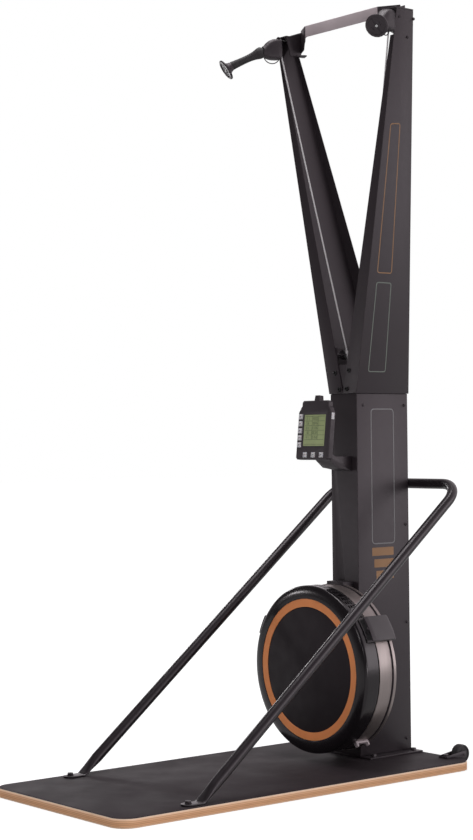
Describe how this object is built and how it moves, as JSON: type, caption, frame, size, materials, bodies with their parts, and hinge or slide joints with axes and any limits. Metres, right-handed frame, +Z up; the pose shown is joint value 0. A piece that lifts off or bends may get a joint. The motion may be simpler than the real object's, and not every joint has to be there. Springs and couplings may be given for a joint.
{
  "type": "ski ergometer",
  "caption": "Standing ski-pull trainer: tall V mast with rope handles, console, vented flywheel with a resistance lever, U stay and a flat floor platform.",
  "frame": {"origin": "on the floor, under the middle of the platform board", "axes": "+Z up, +Y the way the user faces, +X the user's right"},
  "size_m": [0.7214, 1.297, 2.1863],
  "materials": {
    "plywood": "sealed plywood edge",
    "mat": "fine-textured matt",
    "black_steel": "satin powder coat",
    "grey_paint": "satin paint",
    "black_plastic": "fine-grained",
    "gloss_black": "polished",
    "accent_orange": "satin",
    "brushed": "brushed round the strap",
    "fan_metal": "plain",
    "bright_steel": "turned",
    "lever_grey": "satin",
    "rope": "braided cord",
    "grip_rubber": "matt",
    "screen": "clear lens over a green display",
    "button_white": "matt"
  },
  "bodies": {
    "frame": {"deck_board": "plywood", "deck_mat": "mat", "base_plate": "black_steel", "lower_column": "black_steel", "column_back_panel": "black_steel", "joint_liner": "black_steel", "left_arm": "black_steel", "right_arm": "black_steel", "left_arm_head": "black_steel", "right_arm_head": "black_steel", "crossbar": "grey_paint", "left_pulley_housing": "black_plastic", "right_pulley_housing": "black_plastic", "left_rope": "rope", "right_rope": "rope", "left_recoil_case": "black_plastic", "right_recoil_case": "black_plastic", "stay_tube": "black_steel", "stay_saddle": "black_steel", "front_cover": "gloss_black", "accent_ring": "accent_orange", "centre_panel": "black_plastic", "vent_grille": "black_plastic", "rear_cover": "black_plastic", "brushed_band": "brushed", "left_band_foot": "grey_paint", "right_band_foot": "grey_paint", "front_bearing": "bright_steel", "rear_bearing": "bright_steel", "bearing_bridge": "black_steel", "console_bracket": "black_steel", "left_wheel_bracket": "black_steel", "right_wheel_bracket": "black_steel"},
    "flywheel": {"flywheel_fan": "fan_metal", "flywheel_axle": "bright_steel"},
    "left_handle": {"left_grip": "grip_rubber", "left_end_disc": "black_plastic"},
    "right_handle": {"right_grip": "grip_rubber", "right_end_disc": "black_plastic"},
    "left_top_pulley": {"left_top_pulley": "bright_steel"},
    "right_top_pulley": {"right_top_pulley": "bright_steel"},
    "left_idler": {"left_idler": "bright_steel"},
    "right_idler": {"right_idler": "bright_steel"},
    "left_drum": {"left_drum": "bright_steel"},
    "right_drum": {"right_drum": "bright_steel"},
    "lever": {"resistance_lever": "lever_grey", "lever_knob": "black_plastic", "magnet_carrier": "bright_steel"},
    "console": {"console_case": "black_plastic", "console_screen": "screen"},
    "side_button_1": {"side_button_1": "button_white"},
    "side_button_2": {"side_button_2": "button_white"},
    "side_button_3": {"side_button_3": "button_white"},
    "side_button_4": {"side_button_4": "button_white"},
    "side_button_5": {"side_button_5": "button_white"},
    "low_button_1": {"low_button_1": "button_white"},
    "low_button_2": {"low_button_2": "button_white"},
    "low_button_3": {"low_button_3": "button_white"},
    "left_wheel": {"left_transport_wheel": "grip_rubber"},
    "right_wheel": {"right_transport_wheel": "grip_rubber"}
  },
  "joints": [
    {"name": "flywheel_spin", "type": "hinge", "parent": "frame", "child": "flywheel", "pos_m": [0, 0.42, 0.289], "axis": [0, 1, 0], "continuous": true},
    {"name": "left_pull", "type": "slide", "parent": "frame", "child": "left_handle", "axis": [0, -0.29, -0.957], "range_m": [0, 1.25], "stiffness_N_per_m": 10, "springref_m": -0.8},
    {"name": "right_pull", "type": "slide", "parent": "frame", "child": "right_handle", "axis": [0, -0.29, -0.957], "range_m": [0, 1.25], "stiffness_N_per_m": 10, "springref_m": -0.8},
    {"name": "left_top_pulley_spin", "type": "hinge", "parent": "frame", "child": "left_top_pulley", "pos_m": [-0.244, 0.35857, 2.125], "axis": [0.9461, -0.3239, 0], "continuous": true},
    {"name": "right_top_pulley_spin", "type": "hinge", "parent": "frame", "child": "right_top_pulley", "pos_m": [0.244, 0.35857, 2.125], "axis": [0.9461, 0.3239, 0], "continuous": true},
    {"name": "left_idler_spin", "type": "hinge", "parent": "frame", "child": "left_idler", "pos_m": [-0.0324, 0.44, 1.195], "axis": [0, -1, 0], "continuous": true},
    {"name": "right_idler_spin", "type": "hinge", "parent": "frame", "child": "right_idler", "pos_m": [0.0324, 0.464, 1.195], "axis": [0, 1, 0], "continuous": true},
    {"name": "left_drum_spin", "type": "hinge", "parent": "frame", "child": "left_drum", "pos_m": [0, 0.44, 0.289], "axis": [0, -1, 0], "continuous": true},
    {"name": "right_drum_spin", "type": "hinge", "parent": "frame", "child": "right_drum", "pos_m": [0, 0.464, 0.289], "axis": [0, -1, 0], "continuous": true},
    {"name": "lever_swing", "type": "hinge", "parent": "frame", "child": "lever", "pos_m": [0, 0.35, 0.289], "axis": [0, 1, 0], "range_deg": [-8, 45]},
    {"name": "console_tilt", "type": "hinge", "parent": "frame", "child": "console", "pos_m": [0, 0.318, 0.905], "axis": [1, 0, 0], "range_deg": [-25, 15]},
    {"name": "side_press_1", "type": "slide", "parent": "console", "child": "side_button_1", "axis": [0, 0.9945, -0.1045], "range_m": [0, 0.0015], "stiffness_N_per_m": 300},
    {"name": "side_press_2", "type": "slide", "parent": "console", "child": "side_button_2", "axis": [0, 0.9945, -0.1045], "range_m": [0, 0.0015], "stiffness_N_per_m": 300},
    {"name": "side_press_3", "type": "slide", "parent": "console", "child": "side_button_3", "axis": [0, 0.9945, -0.1045], "range_m": [0, 0.0015], "stiffness_N_per_m": 300},
    {"name": "side_press_4", "type": "slide", "parent": "console", "child": "side_button_4", "axis": [0, 0.9945, -0.1045], "range_m": [0, 0.0015], "stiffness_N_per_m": 300},
    {"name": "side_press_5", "type": "slide", "parent": "console", "child": "side_button_5", "axis": [0, 0.9945, -0.1045], "range_m": [0, 0.0015], "stiffness_N_per_m": 300},
    {"name": "low_press_1", "type": "slide", "parent": "console", "child": "low_button_1", "axis": [0, 0.9945, -0.1045], "range_m": [0, 0.0015], "stiffness_N_per_m": 300},
    {"name": "low_press_2", "type": "slide", "parent": "console", "child": "low_button_2", "axis": [0, 0.9945, -0.1045], "range_m": [0, 0.0015], "stiffness_N_per_m": 300},
    {"name": "low_press_3", "type": "slide", "parent": "console", "child": "low_button_3", "axis": [0, 0.9945, -0.1045], "range_m": [0, 0.0015], "stiffness_N_per_m": 300},
    {"name": "left_wheel_roll", "type": "hinge", "parent": "frame", "child": "left_wheel", "pos_m": [-0.216, 0.65, 0.031], "axis": [1, 0, 0], "continuous": true},
    {"name": "right_wheel_roll", "type": "hinge", "parent": "frame", "child": "right_wheel", "pos_m": [0.216, 0.65, 0.031], "axis": [1, 0, 0], "continuous": true}
  ],
  "couplings": [
    {"joint": "left_top_pulley_spin", "follows": "left_pull", "rad_per_m": 46.296},
    {"joint": "left_idler_spin", "follows": "left_pull", "rad_per_m": 69.444},
    {"joint": "left_drum_spin", "follows": "left_pull", "rad_per_m": 55.556},
    {"joint": "right_top_pulley_spin", "follows": "right_pull", "rad_per_m": 46.296},
    {"joint": "right_idler_spin", "follows": "right_pull", "rad_per_m": 69.444},
    {"joint": "right_drum_spin", "follows": "right_pull", "rad_per_m": 55.556}
  ]
}
